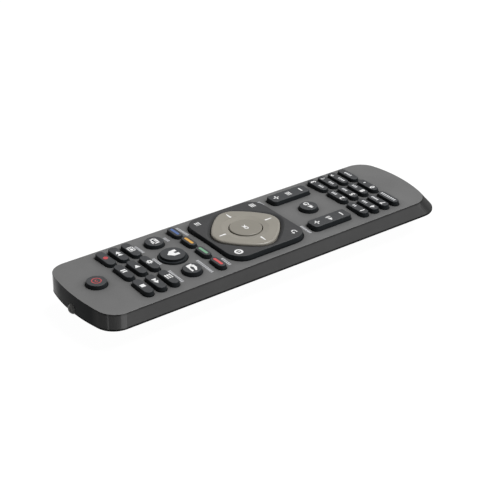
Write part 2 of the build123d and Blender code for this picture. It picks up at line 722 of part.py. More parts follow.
def controller_chip():
    y = PAD_Y + CHIP_FORWARD
    high = board_z - CHIP_STANDOFF
    body = block(-CHIP_LENGTH / 2, CHIP_LENGTH / 2, y - CHIP_DEPTH / 2, y + CHIP_DEPTH / 2,
                 high - CHIP_HEIGHT, high)
    for index in range(PIN_COUNT):
        x = PIN_PITCH * (index - (PIN_COUNT - 1) / 2)
        body += block(x - PIN_WIDTH / 2, x + PIN_WIDTH / 2, y - PIN_SPAN / 2, y + PIN_SPAN / 2,
                      board_z - PIN_THICKNESS, board_z)
    return body


def chip_parts():
    pieces = []
    for row in range(2):
        for index in range(SMALL_COUNT):
            x = SMALL_PITCH * (index - (SMALL_COUNT - 1) / 2)
            y = PAD_Y + SMALL_FORWARD + SMALL_ROW * row
            pieces.append(block(x - SMALL_LENGTH / 2, x + SMALL_LENGTH / 2, y - SMALL_DEPTH / 2,
                                y + SMALL_DEPTH / 2, board_z - SMALL_HEIGHT, board_z))
    return pieces


def resonator():
    y = PAD_Y - RESONATOR_BACK
    high = board_z - RESONATOR_STANDOFF
    half_length, half_depth = RESONATOR_LENGTH / 2, RESONATOR_DEPTH / 2
    body = block(-half_length, half_length, y - half_depth, y + half_depth, high - RESONATOR_HEIGHT, high)
    for x in (-RESONATOR_PITCH, 0, RESONATOR_PITCH):
        body += post(x, y, LEG, high - LEG, board_z)
    return body


def capacitor():
    y = PAD_Y + CAN_FORWARD
    z = board_z - CAN_DIAMETER / 2 - LEG
    can = Pos(CAN_ASIDE, y, z) * Rot(90, 0, 0) * Cylinder(CAN_DIAMETER / 2, CAN_LENGTH)
    foot = y - CAN_LENGTH / 2
    bend = foot - CAN_BEND
    for x in (CAN_ASIDE - CAN_PITCH / 2, CAN_ASIDE + CAN_PITCH / 2):
        can += post(x, bend, LEG, z - LEG / 2, board_z)
        can += block(x - LEG / 2, x + LEG / 2, bend, foot + LEG, z - LEG / 2, z + LEG / 2)
    return can


def cell(x, way):
    """AAA cell along Y; way is +1 where its nub points to the head."""
    if way > 0:
        start = bay_tail + CONTACT + SPRING_LENGTH + CONTACT_PLAY
        nub = start + CELL_LENGTH
    else:
        start = bay_tail + CONTACT + CONTACT_PLAY + NUB_LENGTH
        nub = start - NUB_LENGTH
    along = Rot(-90, 0, 0)
    can = Pos(x, start + CELL_LENGTH / 2, cell_z) * along * Cylinder(CELL_DIAMETER / 2, CELL_LENGTH)
    can = fillet(can.edges(), CELL_EDGE)
    tip = Pos(x, nub + NUB_LENGTH / 2, cell_z) * along * Cylinder(NUB_DIAMETER / 2, NUB_LENGTH)
    return can + tip


def coil(x, wall_y, way):
    """Conical spring from a contact plate towards the cell."""
    height = SPRING_LENGTH - SPRING_WIRE - 2 * CONTACT_PLAY
    pitch = height / SPRING_TURNS
    start = wall_y + way * (SPRING_WIRE / 2 + CONTACT_PLAY)
    path = Helix(pitch, height, SPRING_BASE, cone_angle=-SPRING_LEAN)
    wire = Plane(path @ 0, z_dir=path % 0) * RegularPolygon(SPRING_WIRE / 2, 8)
    turns = sweep(wire, path=path, is_frenet=True)
    return Pos(x, start, cell_z) * Rot(-90 * way, 0, 0) * turns


def plate(x, y, reach=0.0):
    low = cell_z - CONTACT_HEIGHT / 2
    body = block(x - CONTACT_WIDTH / 2, x + CONTACT_WIDTH / 2, y, y + CONTACT, low, low + CONTACT_HEIGHT)
    if reach:
        body += block(x - CONTACT_TAB / 2, x + CONTACT_TAB / 2, y, y + CONTACT, low, reach)
    return body


def contacts():
    front = bay_front - CONTACT
    save("front_contact", plate(-cell_x, front, board_z))
    save("front_spring", plate(cell_x, front, board_z), coil(cell_x, front, -1))
    bridge = plate(-cell_x, bay_tail) + plate(cell_x, bay_tail)
    bridge += block(-cell_x, cell_x, bay_tail, bay_tail + CONTACT,
                    cell_z - CONTACT_BRIDGE / 2, cell_z + CONTACT_BRIDGE / 2)
    save("tail_contact", bridge, coil(-cell_x, bay_tail + CONTACT, 1))


def board_screws():
    pieces = []
    for x, y in screw_places:
        one = post(x, y, SCREW_HEAD, board_z - SCREW_HEAD_HEIGHT, board_z)
        one += post(x, y, SCREW, board_z, board_top + SCREW_REACH - SCREW_SPARE)
        deep = board_z - SCREW_HEAD_HEIGHT + CROSS_DEPTH
        for long, wide in ((CROSS_LENGTH, CROSS_WIDTH), (CROSS_WIDTH, CROSS_LENGTH)):
            one -= block(x - long / 2, x + long / 2, y - wide / 2, y + wide / 2, 0, deep)
        pieces.append(one)
    return pieces


for spec in slide_keys:
    slide_key(*spec)
for spec in rockers:
    rocker_key(*spec)
nav_pad()
nav_ring()
ok_key()
seats()
save("upper_housing", upper_housing())
save("lower_housing", lower_housing())
save("battery_door", battery_door())
save("circuit_board", circuit_board())
save("keypad_mat", keypad_mat())
save("ir_led", ir_led())
save("controller_chip", controller_chip())
save("chip_parts", *chip_parts())
save("resonator", resonator())
save("capacitor", capacitor())
save("battery_1", cell(-cell_x, 1))
save("battery_2", cell(cell_x, -1))
contacts()
save("board_screws", *board_screws())
print("length", round(body_length, 2), "width", 2 * HALF, "face", round(FACE, 2))
print("head", round(HEAD, 3), "tail", round(TAIL, 3), "pad", round(PAD_Y, 3), "door", round(door_front, 2))
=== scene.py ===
import json
import math
import bpy
from mathutils import Matrix, Vector


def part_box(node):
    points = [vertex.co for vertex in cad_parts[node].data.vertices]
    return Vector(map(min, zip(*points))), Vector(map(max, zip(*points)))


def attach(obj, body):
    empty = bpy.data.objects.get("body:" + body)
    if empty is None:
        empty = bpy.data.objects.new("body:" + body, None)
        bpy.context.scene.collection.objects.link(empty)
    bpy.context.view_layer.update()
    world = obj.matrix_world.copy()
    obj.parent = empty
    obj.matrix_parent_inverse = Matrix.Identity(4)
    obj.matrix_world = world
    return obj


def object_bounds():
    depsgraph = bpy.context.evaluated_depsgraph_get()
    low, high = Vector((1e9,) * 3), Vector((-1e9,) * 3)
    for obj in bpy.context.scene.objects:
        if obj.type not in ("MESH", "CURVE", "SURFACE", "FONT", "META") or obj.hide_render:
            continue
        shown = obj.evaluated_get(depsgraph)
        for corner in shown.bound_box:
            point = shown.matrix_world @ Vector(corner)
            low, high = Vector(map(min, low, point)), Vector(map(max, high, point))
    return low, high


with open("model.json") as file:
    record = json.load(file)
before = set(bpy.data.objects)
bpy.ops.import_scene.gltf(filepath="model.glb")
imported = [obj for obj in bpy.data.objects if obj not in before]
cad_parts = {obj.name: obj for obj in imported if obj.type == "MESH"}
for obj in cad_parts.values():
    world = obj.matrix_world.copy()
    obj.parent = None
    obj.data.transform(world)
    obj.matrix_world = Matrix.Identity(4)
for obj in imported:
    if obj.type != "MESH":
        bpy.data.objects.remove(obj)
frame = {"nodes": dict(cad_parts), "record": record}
cad_low, cad_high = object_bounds()

# Lengths are millimetres, and MM turns them into metres; the floor and the lamp are in metres
MM = 0.001
PRINT = 0.02  # ink above the surface it is printed on
PRINT_DEPTH = 0.05  # ink below that surface
WALL_HEIGHT = 8.0  # from the face down to the seam
TAIL_REACH = 16.0  # length of the sloped tail
CROWN = 0.95  # rise of the face from its long edges to its middle
SYMBOL_SCALE = 1.15  # the usual size of a symbol on a small key
ROUND_KEY = 0.12  # rounding of edges in the shading
ROUND_CASE = 0.3
ROUND_RING = 0.35
BLACK = (0, 0, 0, 1)

face_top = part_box("upper_housing")[1].z / MM
crown_radius = ((cad_high.x / MM) ** 2 + CROWN ** 2) / (2 * CROWN)

scene = bpy.context.scene
scene.view_settings.view_transform = "Standard"


def crowned(u):
    """Height of the casing's face at u from its middle line."""
    return face_top - (crown_radius - math.sqrt(crown_radius ** 2 - u ** 2))


def linear(red, green, blue):
    """Screen colour, 0 to 255, as the linear colour that shader sockets take."""
    values = []
    for value in (red, green, blue):
        share = value / 255
        values.append(share / 12.92 if share <= 0.04045 else ((share + 0.055) / 1.055) ** 2.4)
    return (*values, 1.0)


def toned(shade, factor):
    """The same colour, lighter or darker."""
    return tuple(min(1, c * factor) for c in shade[:3]) + (1,)


class Shader:
    """One node material, built by short calls that return sockets."""

    def __init__(self, name):
        self.material = bpy.data.materials.new(name)
        self.material.use_nodes = True
        self.nodes = self.material.node_tree.nodes
        self.links = self.material.node_tree.links
        self.surface = self.nodes["Principled BSDF"]
        self.place = self.nodes.new("ShaderNodeTexCoord").outputs["Object"]

    def set(self, **values):
        for name, value in values.items():
            self.surface.inputs[name.replace("_", " ")].default_value = value

    def noise(self, size_mm, detail=2.0, stretch=(1, 1, 1)):
        mapping = self.nodes.new("ShaderNodeMapping")
        mapping.inputs["Scale"].default_value = stretch
        self.links.new(self.place, mapping.inputs["Vector"])
        noise = self.nodes.new("ShaderNodeTexNoise")
        noise.inputs["Scale"].default_value = 1 / (size_mm * MM)
        noise.inputs["Detail"].default_value = detail
        self.links.new(mapping.outputs["Vector"], noise.inputs["Vector"])
        return noise.outputs["Fac"]

    def spread(self, value, low, high, start=0.3, end=0.7):
        """A value between start and end moved to low and high."""
        node = self.nodes.new("ShaderNodeMapRange")
        node.inputs["From Min"].default_value = start
        node.inputs["From Max"].default_value = end
        node.inputs["To Min"].default_value = low
        node.inputs["To Max"].default_value = high
        self.links.new(value, node.inputs["Value"])
        return node.outputs["Result"]

    def rising(self, value, start_mm, end_mm, most=1.0):
        """0 up to the first length, and most from the second one on."""
        return self.spread(value, 0.0, most, start_mm * MM, end_mm * MM)

    def falling(self, value, start_mm, end_mm, most=1.0):
        """Most up to the first length, and 0 from the second one on."""
        return self.spread(value, most, 0.0, start_mm * MM, end_mm * MM)

    def mix(self, share, first, second):
        node = self.nodes.new("ShaderNodeMix")
        node.data_type = "RGBA"
        for socket, value in (("A", first), ("B", second)):
            target = [i for i in node.inputs if i.name == socket and i.type == "RGBA"][0]
            if isinstance(value, tuple):
                target.default_value = value
            else:
                self.links.new(value, target)
        if isinstance(share, float):
            node.inputs["Factor"].default_value = share
        else:
            self.links.new(share, node.inputs["Factor"])
        return [o for o in node.outputs if o.type == "RGBA"][0]

    def darken(self, shade, share):
        return self.mix(share, shade, BLACK)

    def math(self, kind, first, second=None):
        node = self.nodes.new("ShaderNodeMath")
        node.operation = kind
        for index, value in enumerate((first, second)):
            if value is None:
                continue
            if isinstance(value, (int, float)):
                node.inputs[index].default_value = value
            else:
                self.links.new(value, node.inputs[index])
        return node.outputs["Value"]

    def times(self, first, second):
        return self.math("MULTIPLY", first, second)

    def axis(self, index):
        """Place along x, y or z in metres."""
        node = self.nodes.new("ShaderNodeSeparateXYZ")
        self.links.new(self.place, node.inputs[0])
        return node.outputs[index]

    def normal(self, axis):
        geometry = self.nodes.new("ShaderNodeNewGeometry")
        node = self.nodes.new("ShaderNodeSeparateXYZ")
        self.links.new(geometry.outputs["True Normal"], node.inputs[0])
        return node.outputs[axis]

    def upward(self, start, end):
        """1 where the surface faces up, 0 on its sides."""
        return self.spread(self.normal("Z"), 0.0, 1.0, start, end)

    def bump(self, height, depth_mm, round_mm=0.0):
        node = self.nodes.new("ShaderNodeBump")
        node.inputs["Distance"].default_value = depth_mm * MM
        self.links.new(height, node.inputs["Height"])
        if round_mm:
            bevel = self.nodes.new("ShaderNodeBevel")
            bevel.samples = 8
            bevel.inputs["Radius"].default_value = round_mm * MM
            self.links.new(bevel.outputs["Normal"], node.inputs["Normal"])
        self.links.new(node.outputs["Normal"], self.surface.inputs["Normal"])

    def contact(self, reach_mm, strength):
        """Soft shade beside raised neighbours, from 0 in the open to strength."""
        node = self.nodes.new("ShaderNodeAmbientOcclusion")
        node.samples = 8
        node.inputs["Distance"].default_value = reach_mm * MM
        return self.spread(node.outputs["AO"], strength, 0.0, 0.5, 1.0)

    def colour(self, value):
        self.links.new(value, self.surface.inputs["Base Color"])

    def rough(self, value):
        self.links.new(value, self.surface.inputs["Roughness"])


def moulded(name, shade, grain_mm, depth_mm, rough, round_mm=0.0, vary=0.06):
    """Moulded plastic: spark-eroded grain, slight clouding and uneven gloss."""
    s = Shader(name)
    s.colour(s.mix(s.spread(s.noise(14, 3), 0, 1), toned(shade, 1 - vary), toned(shade, 1 + vary)))
    s.rough(s.spread(s.noise(5, 2), rough - 0.03, rough + 0.03))
    s.bump(s.noise(grain_mm, 3), depth_mm, round_mm)
    return s


def key_material(name, top, side, round_mm=ROUND_KEY, lacquer_from=None, dip_from=None):
    """Silicone key: lacquered top over darker rubber, with a fine matt grain.

    Above the height lacquer_from the top is lacquered; below the height of the dip's edge the top gets
    painted shade, darker down into the dip, and beside raised neighbours the colour gets painted shade.
    """
    s = Shader(name)
    facing = s.upward(0.72, 0.97)
    if lacquer_from is not None:
        facing = s.times(facing, s.math("GREATER_THAN", s.axis(2), lacquer_from * MM))
    # Painted shade: the colour darkens beside raised neighbours
    shade = s.darken(s.mix(facing, side, top), s.contact(2.0, 0.2))
    # Painted shade: the top darkens below its own height, into the dip round the ring
    if dip_from is not None:
        dip = s.falling(s.axis(2), dip_from - 0.35, dip_from - 0.03, 0.45)
        shade = s.darken(shade, s.times(dip, facing))
    cloud = s.spread(s.noise(3.5, 3), 0.0, 1.0)
    s.colour(s.mix(s.times(cloud, 0.12), shade, side))
    s.rough(s.spread(s.noise(1.5, 2), 0.5, 0.6))
    s.set(Specular_IOR_Level=0.35)
    s.bump(s.noise(0.22, 3), 0.006, round_mm)
    return s.material


def case_grey():
    """Lacquered casing: painted shade on the walls, just under the face's edge, on the sloped tail and
    beside raised parts; a dark seam band, partly the black base and partly painted shadow; and a dark end
    window.
    """
    rim_start, rim_full, rim_fade, rim_end = 0.08, 0.2, 0.35, 1.1
    seam_full, seam_end = 0.1, 0.4
    wall_shade, tail_shade = 0.15, 0.72
    tail_steep, tail_level = -0.3, -0.04
    window_half, window_edge, window_start, window_full = 13, 16.5, 4, 3

    s = moulded("case_grey", linear(112, 112, 112), 0.3, 0.012, 0.42, ROUND_CASE)
    low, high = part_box("upper_housing")
    tail, head = low.y / MM, high.y / MM
    seam = face_top - WALL_HEIGHT

    # Depth under the crowned face, with the crown as a parabola
    sag = s.times(s.times(s.axis(0), s.axis(0)), 0.5 / (crown_radius * MM))
    depth = s.math("SUBTRACT", face_top * MM, s.math("ADD", s.axis(2), sag))
    wall = s.spread(s.upward(0.3, 0.8), 1.0, 0.0, 0.0, 1.0)

    shade = s.surface.inputs["Base Color"].links[0].from_socket
    # Painted shade: the walls are darker than the face, though both are the same lacquer
    shade = s.darken(shade, s.times(wall, wall_shade))
    # Painted shade: a dark band just under the face's edge, where it rounds over into the wall
    painted_rim_shade = s.times(s.rising(depth, rim_start, rim_full), s.falling(depth, rim_fade, rim_end))
    shade = s.mix(s.times(painted_rim_shade, wall), shade, linear(58, 58, 59))
    # Dark band at the foot of the wall: partly the black base showing at the seam, partly painted shadow in
    # the gap there
    line = s.times(wall, s.falling(s.axis(2), seam + seam_full, seam + seam_end))
    shade = s.mix(line, shade, linear(20, 21, 23))

    # Painted shade: the sloped tail is darkened
    painted_tail_shade = s.times(s.spread(s.normal("Y"), tail_shade, 0.0, tail_steep, tail_level),
                    s.math("LESS_THAN", s.axis(1), (tail + TAIL_REACH) * MM))
    shade = s.darken(shade, s.times(painted_tail_shade, s.rising(depth, 0.1, 0.4)))
    # Painted shade: darker beside raised parts
    shade = s.darken(shade, s.contact(4.0, 0.6))

    window = s.times(s.falling(s.math("ABSOLUTE", s.axis(0)), window_half, window_edge),
                     s.rising(s.axis(1), head - window_start, head - window_full))
    s.colour(s.mix(s.times(window, wall), shade, linear(34, 41, 45)))
    s.links.new(wall, s.surface.inputs["Coat Weight"])
    s.set(Coat_Roughness=0.06, Coat_IOR=1.5)
    return s.material


def base_black():
    s = moulded("base_black", linear(10, 11, 13), 0.45, 0.03, 0.5, ROUND_CASE)
    s.set(Specular_IOR_Level=0.25)
    return s.material


def warm_grey(name, shade):
    """The ring and the key in its middle."""
    return moulded(name, shade, 0.25, 0.008, 0.4, ROUND_RING, 0.03).material


def printed(name, shade):
    """Screen-printed ink: slightly uneven and soft."""
    s = Shader(name)
    s.colour(s.mix(s.spread(s.noise(0.35, 3), 0, 1), toned(shade, 0.9), shade))
    s.rough(s.spread(s.noise(0.6, 2), 0.4, 0.5))
    s.bump(s.noise(0.12, 2), 0.003)
    return s.material


def clear_epoxy():
    """Clear lens with a slightly milky edge."""
    s = Shader("diode_clear")
    s.set(Transmission_Weight=0.5, IOR=1.5, Base_Color=(0.62, 0.62, 0.6, 1),
          Coat_Weight=1.0, Coat_Roughness=0.04)
    s.rough(s.spread(s.noise(0.8, 2), 0.02, 0.08))
    s.bump(s.noise(1.2, 2), 0.01)
    return s.material


def board_green():
    """Solder mask over slightly wavy copper runs."""
    s = Shader("board_green")
    wander, runs_per_metre = 0.004, 3400.0
    across = s.math("ADD", s.axis(0), s.times(s.noise(9, 0), wander))
    runs = s.math("SINE", s.times(across, runs_per_metre))
    mask = s.spread(runs, 0, 1, 0.2, 0.4)
    s.colour(s.mix(mask, linear(20, 66, 40), linear(34, 92, 52)))
    s.rough(s.spread(s.noise(2, 2), 0.22, 0.34))
    s.bump(mask, 0.02)
    return s.material


def metal(name, shade, rough):
    """Drawn or plated metal with fine lines along one direction."""
    stretch = (1, 1, 8)
    s = Shader(name)
    s.set(Metallic=1.0)
    s.colour(s.mix(s.spread(s.noise(0.8, 3, stretch), 0, 1), toned(shade, 0.8), shade))
    s.rough(s.spread(s.noise(0.5, 2, stretch), rough - 0.05, rough + 0.08))
    s.bump(s.noise(0.2, 2, stretch), 0.004)
    return s.material


def cell_jacket():
    """Cell: printed film with a coloured band, and bare metal at both ends."""
    bare, band_place, band_half = 2.6, 9, 4
    s = Shader("cell_jacket")
    low, high = (corner.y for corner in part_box("battery_1"))
    middle, half = (low + high) / 2, (high - low) / 2
    away = s.math("ABSOLUTE", s.math("SUBTRACT", s.axis(1), middle))
    ends = s.math("GREATER_THAN", away, half - bare * MM)
    from_band = s.math("ABSOLUTE", s.math("SUBTRACT", s.axis(1), middle + band_place * MM))
    band = s.math("LESS_THAN", from_band, band_half * MM)
    body = s.mix(band, linear(34, 36, 42), linear(168, 120, 62))
    s.colour(s.mix(ends, body, linear(196, 196, 192)))
    s.links.new(ends, s.surface.inputs["Metallic"])
    s.rough(s.spread(s.noise(1.5, 2), 0.22, 0.36))
    s.bump(s.noise(0.5, 2), 0.004)
    return s.material


def middle_of(node):
    low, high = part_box(node)
    return (low.x + high.x) / 2 / MM, (low.y + high.y) / 2 / MM


def top_of(node):
    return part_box(node)[1].z / MM


by_slot = {
    "case_grey": case_grey(),
    "base_black": base_black(),
    "key_rubber": key_material("key_rubber", linear(73, 74, 76), linear(35, 39, 42)),
    "pad_dark": key_material("pad_dark", linear(71, 71, 72), linear(36, 40, 43), ROUND_CASE,
                             dip_from=top_of("nav_pad")),
    "ring_grey": warm_grey("ring_grey", linear(151, 147, 138)),
    "mat_rubber": moulded("mat_rubber", linear(92, 92, 95), 0.3, 0.01, 0.6).material,
    "diode_clear": clear_epoxy(),
    "board_green": board_green(),
    "chip_black": moulded("chip_black", linear(34, 34, 36), 0.15, 0.01, 0.5).material,
    "sleeve_black": moulded("sleeve_black", linear(26, 28, 44), 0.6, 0.01, 0.3).material,
    "resonator_blue": moulded("resonator_blue", linear(40, 84, 158), 0.8, 0.03, 0.3).material,
    "contact_nickel": metal("contact_nickel", linear(206, 202, 192), 0.24),
    "screw_steel": metal("screw_steel", linear(176, 178, 182), 0.34),
    "cell_jacket": cell_jacket(),
}
slot_of = {entry["node"]: entry["material_slot"] for entry in frame["record"]["subparts"]}
for name, node in frame["nodes"].items():
    node.data.materials.clear()
    node.data.materials.append(by_slot[slot_of[name]])

LACQUER_DEPTH = 0.4
frame["nodes"]["home_key"].data.materials[0] = key_material(
    "home_rubber", linear(71, 72, 74), linear(35, 39, 42), lacquer_from=top_of("home_key") - LACQUER_DEPTH)
frame["nodes"]["ok_key"].data.materials[0] = warm_grey("ok_grey", linear(144, 140, 131))

ink = {
    "white": printed("ink_white", linear(250, 250, 250)),
    "label": printed("ink_label", linear(192, 193, 196)),
    "small": printed("ink_small", linear(224, 225, 227)),
    "red": printed("ink_red", linear(200, 84, 88)),
    "strip_red": printed("strip_red", linear(222, 92, 94)),
    "strip_green": printed("strip_green", linear(130, 178, 146)),
    "strip_yellow": printed("strip_yellow", linear(228, 174, 88)),
    "strip_blue": printed("strip_blue", linear(92, 116, 170)),
}


class Marks:
    """Printed shapes on one key or on the face, gathered into one thin mesh."""

    def __init__(self, x, y, height, scale=1.0):
        self.x, self.y, self.height, self.scale = x, y, height, scale
        self.points, self.faces, self.slots, self.inks = [], [], [], []

    def slot(self, name):
        if name not in self.inks:
            self.inks.append(name)
        return self.inks.index(name)

    def poly(self, outline, colour="white"):
        count = len(outline)
        start = len(self.points)
        for lift in (PRINT, -PRINT_DEPTH):
            for x, y in outline:
                u, v = self.x + self.scale * x, self.y + self.scale * y
                self.points.append((u, v, self.height(u) + lift))
        self.faces.append(tuple(range(start, start + count)))
        for index in range(count):
            after = (index + 1) % count
            self.faces.append((start + index, start + count + index, start + count + after, start + after))
        self.slots.extend([self.slot(colour)] * (count + 1))

    def bar(self, x, y, width, depth, turn=0.0, colour="white"):
        c, s = math.cos(math.radians(turn)), math.sin(math.radians(turn))
        u, v = width / 2, depth / 2
        corners = [(-u, -v), (u, -v), (u, v), (-u, v)]
        self.poly([(x + c * u - s * v, y + s * u + c * v) for u, v in corners], colour)

    def disc(self, x, y, radius, colour="white", sides=28):
        turns = [2 * math.pi * k / sides for k in range(sides)]
        self.poly([(x + radius * math.cos(t), y + radius * math.sin(t)) for t in turns], colour)

    def arc(self, x, y, radius, width, start=0.0, end=360.0, colour="white", sides=28):
        steps = max(3, int(sides * abs(end - start) / 360))
        for k in range(steps):
            loop = []
            for r, share in ((radius - width / 2, k), (radius + width / 2, k),
                             (radius + width / 2, k + 1), (radius - width / 2, k + 1)):
                t = math.radians(start + (end - start) * share / steps)
                loop.append((x + r * math.cos(t), y + r * math.sin(t)))
            self.poly(loop, colour)

    def stroke(self, path, width):
        overlap = width * 0.7
        for (x0, y0), (x1, y1) in zip(path, path[1:]):
            length = math.hypot(x1 - x0, y1 - y0)
            turn = math.degrees(math.atan2(y1 - y0, x1 - x0))
            self.bar((x0 + x1) / 2, (y0 + y1) / 2, length + overlap, width, turn)

    def triangle(self, x, y, half, length, way):
        """Arrow head along x, to the right with way 1 and to the left with -1."""
        self.poly([(x - way * length / 2, y - way * half), (x + way * length / 2, y),
                   (x - way * length / 2, y + way * half)])

    def letters(self, text, x, y, tall, bold):
        capital_share = 0.7
        curve = bpy.data.curves.new("letters", "FONT")
        curve.body, curve.size, curve.offset = text, tall / capital_share, bold
        curve.align_x, curve.align_y = "CENTER", "CENTER"
        curve.extrude = (PRINT + PRINT_DEPTH) / 2
        holder = bpy.data.objects.new("letters", curve)
        mesh = bpy.data.meshes.new_from_object(holder)
        start = len(self.points)
        for vertex in mesh.vertices:
            u, v = self.x + self.scale * (x + vertex.co.x), self.y + self.scale * (y + vertex.co.y)
            self.points.append((u, v, self.height(u) + vertex.co.z + (PRINT - PRINT_DEPTH) / 2))
        for face in mesh.polygons:
            self.faces.append(tuple(start + index for index in face.vertices))
        self.slots.extend([self.slot("white")] * len(mesh.polygons))
        bpy.data.objects.remove(holder)
        bpy.data.curves.remove(curve)
        bpy.data.meshes.remove(mesh)

    def blocks(self, count, x, y, tall, wide, gap, colour):
        """Row of small plain blocks."""
        start = -(count - 1) * (wide + gap) / 2
        for index in range(count):
            self.bar(x + start + index * (wide + gap), y, wide, tall, 0, colour)

    def make(self, name, body):
        mesh = bpy.data.meshes.new(name)
        mesh.from_pydata([Vector(p) * MM for p in self.points], [], self.faces)
        for colour in self.inks:
            mesh.materials.append(ink[colour])
        for polygon, index in zip(mesh.polygons, self.slots):
            polygon.material_index = index
        mesh.update()
        piece = bpy.data.objects.new(name, mesh)
        scene.collection.objects.link(piece)
        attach(piece, body)
        return piece


def on_key(node, scale=SYMBOL_SCALE, lift=0.0):
    x, y = middle_of(node)
    top = top_of(node)
    return Marks(x, y, lambda u: top + lift, scale)


def finished(m, node):
    m.make("marks_" + node, node)


def speaker(m, x, y):
    m.bar(x - 0.95, y, 0.7, 0.95)
    m.poly([(x - 0.6, y - 0.48), (x + 0.25, y - 1.1), (x + 0.25, y + 1.1), (x - 0.6, y + 0.48)])


def plus_and_minus(m):
    """Plus at the head end of a rocker and minus at its tail end."""
    m.bar(0, 6.9, 2.9, 0.6)
    m.bar(0, 6.9, 0.6, 2.7)
    m.bar(0, -6.8, 2.9, 0.65)


# Keys at the head
m = on_key("power_key", 1.0)
m.arc(0, 0, 1.95, 0.42, 0, 360, "red", 44)
m.arc(0, -0.1, 0.62, 0.36, -30, 210, "red", 24)
finished(m, "power_key")

m = on_key("stop_key")
m.bar(0, 0, 1.8, 1.8)
finished(m, "stop_key")

m = on_key("pause_key")
for x in (-0.58, 0.58):
    m.bar(x, 0, 0.68, 2.0)
finished(m, "pause_key")

m = on_key("record_key")
m.disc(0, 0, 0.95, "red")
finished(m, "record_key")

m = on_key("rewind_key")
for x in (-0.8, 0.8):
    m.triangle(x, 0, 1.05, 1.65, -1)
finished(m, "rewind_key")

m = on_key("play_key")
m.triangle(0.1, 0, 1.1, 1.9, 1)
finished(m, "play_key")

m = on_key("forward_key")
for x in (-0.8, 0.8):
    m.triangle(x, 0, 1.05, 1.65, 1)
finished(m, "forward_key")

m = on_key("guide_key")
for row in range(3):
    for x, width in ((-1.1, 0.5), (-0.35, 0.5), (0.75, 1.1)):
        m.bar(x, 0.9 - 0.9 * row, width, 0.6)
finished(m, "guide_key")

m = on_key("setup_key")
m.arc(0, 0, 0.66, 0.55)
for tooth in range(8):
    turn = 45 * tooth
    m.bar(1.08 * math.cos(math.radians(turn)), 1.08 * math.sin(math.radians(turn)), 0.38, 0.38, turn)
finished(m, "setup_key")

m = on_key("format_key")
m.stroke([(-1.4, -1.05), (1.4, -1.05), (1.4, 1.05), (-1.4, 1.05), (-1.4, -1.05)], 0.36)
m.bar(-0.35, 0, 1.15, 1.1)
m.bar(0.78, 0, 0.42, 1.1)
finished(m, "format_key")

# Round keys: a house, two bent strokes and a framed list
m = on_key("home_key", 1.0)
m.poly([(-1.9, 0.3), (-1.9, -2.55), (-0.35, -2.55), (-0.35, -0.95), (0.95, -0.95),
        (0.95, -2.55), (2.5, -2.55), (2.5, 0.3), (0.3, 2.5)])
finished(m, "home_key")

m = on_key("source_key", 1.0)
m.poly([(2.55, 1.45), (2.95, -1.5), (1.75, -1.3), (1.1, 0.15), (0.2, 0.8), (-2.35, 0.7), (-2.65, 1.65)])
m.poly([(2.0, -1.2), (1.9, -1.9), (-0.6, -2.05), (-2.6, -0.75), (-2.5, -0.05), (-0.05, -0.75), (1.3, -0.2)])
finished(m, "source_key")

m = on_key("list_key", 1.1)
m.stroke([(-1.7, -1.15), (1.7, -1.15), (1.7, 0.85), (-1.7, 0.85), (-1.7, -1.15)], 0.62)
m.bar(-0.8, 1.3, 1.8, 0.6)
m.bar(0.1, -0.45, 2.0, 0.42)
finished(m, "list_key")

for colour in ("red", "green", "yellow", "blue"):
    node = colour + "_key"
    m = on_key(node, 1.0)
    m.poly([(-2.6, -0.62), (2.6, -0.62), (2.95, -0.4), (2.95, 0.4), (2.6, 0.62), (-2.6, 0.62),
            (-2.95, 0.4), (-2.95, -0.4)], "strip_" + colour)
    finished(m, node)

# Rockers and the key between them
m = on_key("volume_rocker", 1.0)
plus_and_minus(m)
speaker(m, -0.55, 0)
for radius in (0.95, 1.65):
    m.arc(-0.35, 0, radius, 0.36, -48, 48)
finished(m, "volume_rocker")

m = on_key("channel_rocker", 1.0)
plus_and_minus(m)
for row in range(3):
    m.bar(-1.2, 0.85 - 0.85 * row, 0.48, 0.48)
    m.bar(0.35, 0.85 - 0.85 * row, 2.1, 0.48)
finished(m, "channel_rocker")

m = on_key("mute_key", 1.2)
speaker(m, -0.75, -0.2)
m.arc(1.5, -0.1, 0.85, 0.42)
m.bar(0.4, -0.3, 2.6, 0.42, 30)
finished(m, "mute_key")

# Number keys: the digit on one side, and small blocks on the other
digit_keys = {"key_1": (-1, 2), "key_2": (-1, 3), "key_3": (1, 3), "key_4": (-1, 3), "key_5": (-1, 3),
              "key_6": (1, 3), "key_7": (-1, 4), "key_8": (-1, 3), "key_9": (1, 4), "key_0": (-1, 1)}
for node, (side, count) in digit_keys.items():
    m = on_key(node, 1.0)
    m.letters(node[-1], side * 3.18, 0, 2.4, 0.1)
    m.blocks(count, -side * 2.3, -0.05, 1.3, 0.68, 0.42, "small")
    finished(m, node)

for node, count, width, gap in (("subtitle_key", 8, 0.66, 0.52), ("text_key", 4, 0.7, 0.5)):
    m = on_key(node, 1.0)
    m.blocks(count, 0, 0, 1.35, width, gap, "small")
    finished(m, node)

# Pad: an i in a ring, a list, a menu and a return arrow in its corners
m = on_key("nav_pad", 1.0)
m.arc(-14.8, 14.8, 1.5, 0.85)
m.bar(-14.8, 14.5, 0.46, 1.15)
m.disc(-14.8, 15.42, 0.28)
for row in range(3):
    m.bar(13.9, 15.65 - 0.9 * row, 0.6, 0.5)
    m.bar(15.3, 15.65 - 0.9 * row, 1.6, 0.5)
    m.bar(14.8, -14.0 - 0.9 * row, 2.9, 0.5)
m.arc(-14.6, -14.9, 0.95, 0.5, -90, 90)
m.stroke([(-14.6, -15.85), (-15.6, -15.85)], 0.5)
m.stroke([(-14.6, -13.95), (-15.2, -13.95)], 0.5)
m.poly([(-15.2, -13.1), (-16.3, -13.95), (-15.2, -14.8)])
finished(m, "nav_pad")

